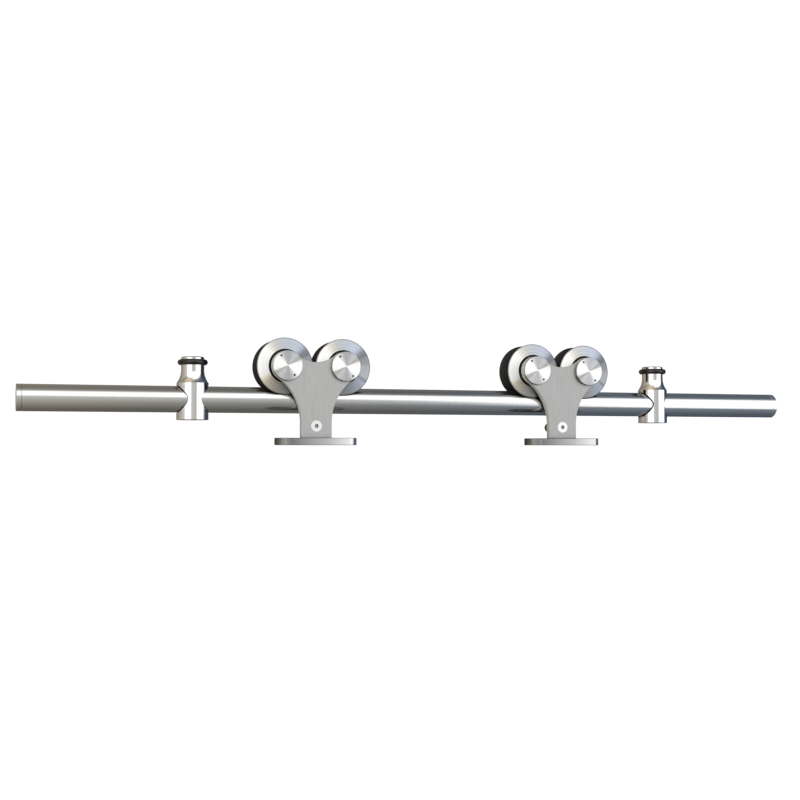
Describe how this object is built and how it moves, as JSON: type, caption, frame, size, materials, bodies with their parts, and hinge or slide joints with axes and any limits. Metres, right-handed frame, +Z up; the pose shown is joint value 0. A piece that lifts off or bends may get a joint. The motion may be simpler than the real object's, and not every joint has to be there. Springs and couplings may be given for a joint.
{
  "type": "sliding barn door hardware",
  "caption": "Round rail on wall standoffs with rubber-ringed end stops and Y-shaped door hangers that roll on pairs of grooved wheels.",
  "frame": {"origin": "middle of the two wall fixings, on the wall face", "axes": "+X along the rail to the right as seen from the room, +Y into the wall, +Z up"},
  "size_m": [0.792, 0.0643, 0.1027],
  "materials": {
    "satin_rail": "satin-drawn stainless steel",
    "polished_stop": "finely turned and polished stainless steel",
    "strap_steel": "stainless plate, brushed upright",
    "turned_face": "turned stainless steel",
    "plate_steel": "polished stainless plate",
    "screw_steel": "bright stainless screw",
    "bearing_steel": "ground bearing steel",
    "black_nylon": "black moulded nylon",
    "black_rubber": "soft black rubber",
    "green_nylon": "green nylon"
  },
  "bodies": {
    "rail": {"rail_tube": "satin_rail", "rail_inserts": "bearing_steel", "standoff_studs": "screw_steel", "left_end_plug": "satin_rail", "left_standoff": "polished_stop", "left_stop_post": "polished_stop", "left_stop_ring": "black_rubber", "left_stop_screw": "screw_steel", "right_end_plug": "satin_rail", "right_standoff": "polished_stop", "right_stop_post": "polished_stop", "right_stop_ring": "black_rubber", "right_stop_screw": "screw_steel"},
    "left_hanger": {"left_strap": "strap_steel", "left_door_plate": "plate_steel", "left_strap_screw": "screw_steel", "left_guard_sleeve": "green_nylon", "left_outer_inner_races": "bearing_steel", "left_outer_axle": "screw_steel", "left_outer_axle_spacers": "bearing_steel", "left_outer_axle_cap": "turned_face", "left_inner_inner_races": "bearing_steel", "left_inner_axle": "screw_steel", "left_inner_axle_spacers": "bearing_steel", "left_inner_axle_cap": "turned_face"},
    "right_hanger": {"right_strap": "strap_steel", "right_door_plate": "plate_steel", "right_strap_screw": "screw_steel", "right_guard_sleeve": "green_nylon", "right_outer_inner_races": "bearing_steel", "right_outer_axle": "screw_steel", "right_outer_axle_spacers": "bearing_steel", "right_outer_axle_cap": "turned_face", "right_inner_inner_races": "bearing_steel", "right_inner_axle": "screw_steel", "right_inner_axle_spacers": "bearing_steel", "right_inner_axle_cap": "turned_face"},
    "left_outer_wheel": {"left_outer_tyre": "black_nylon", "left_outer_wheel_face": "turned_face", "left_outer_outer_races": "bearing_steel", "left_outer_bearing_balls": "bearing_steel", "left_outer_bearing_seals": "black_rubber"},
    "left_inner_wheel": {"left_inner_tyre": "black_nylon", "left_inner_wheel_face": "turned_face", "left_inner_outer_races": "bearing_steel", "left_inner_bearing_balls": "bearing_steel", "left_inner_bearing_seals": "black_rubber"},
    "right_outer_wheel": {"right_outer_tyre": "black_nylon", "right_outer_wheel_face": "turned_face", "right_outer_outer_races": "bearing_steel", "right_outer_bearing_balls": "bearing_steel", "right_outer_bearing_seals": "black_rubber"},
    "right_inner_wheel": {"right_inner_tyre": "black_nylon", "right_inner_wheel_face": "turned_face", "right_inner_outer_races": "bearing_steel", "right_inner_bearing_balls": "bearing_steel", "right_inner_bearing_seals": "black_rubber"}
  },
  "joints": [
    {"name": "left_hanger_slide", "type": "slide", "parent": "rail", "child": "left_hanger", "axis": [1, 0, 0], "range_m": [-0.0505, 0.07]},
    {"name": "left_outer_wheel_spin", "type": "hinge", "parent": "left_hanger", "child": "left_outer_wheel", "pos_m": [-0.1507, -0.034, 0.0325], "axis": [0, 1, 0], "range_deg": [-147, 201]},
    {"name": "left_inner_wheel_spin", "type": "hinge", "parent": "left_hanger", "child": "left_inner_wheel", "pos_m": [-0.0933, -0.034, 0.0325], "axis": [0, 1, 0], "range_deg": [-147, 201]},
    {"name": "right_hanger_slide", "type": "slide", "parent": "rail", "child": "right_hanger", "axis": [1, 0, 0], "range_m": [-0.07, 0.0505]},
    {"name": "right_outer_wheel_spin", "type": "hinge", "parent": "right_hanger", "child": "right_outer_wheel", "pos_m": [0.1641, -0.034, 0.0325], "axis": [0, 1, 0], "range_deg": [-201, 147]},
    {"name": "right_inner_wheel_spin", "type": "hinge", "parent": "right_hanger", "child": "right_inner_wheel", "pos_m": [0.1067, -0.034, 0.0325], "axis": [0, 1, 0], "range_deg": [-201, 147]}
  ],
  "couplings": [
    {"joint": "left_outer_wheel_spin", "follows": "left_hanger_slide", "rad_per_m": 50},
    {"joint": "left_inner_wheel_spin", "follows": "left_hanger_slide", "rad_per_m": 50},
    {"joint": "right_outer_wheel_spin", "follows": "right_hanger_slide", "rad_per_m": 50},
    {"joint": "right_inner_wheel_spin", "follows": "right_hanger_slide", "rad_per_m": 50}
  ]
}
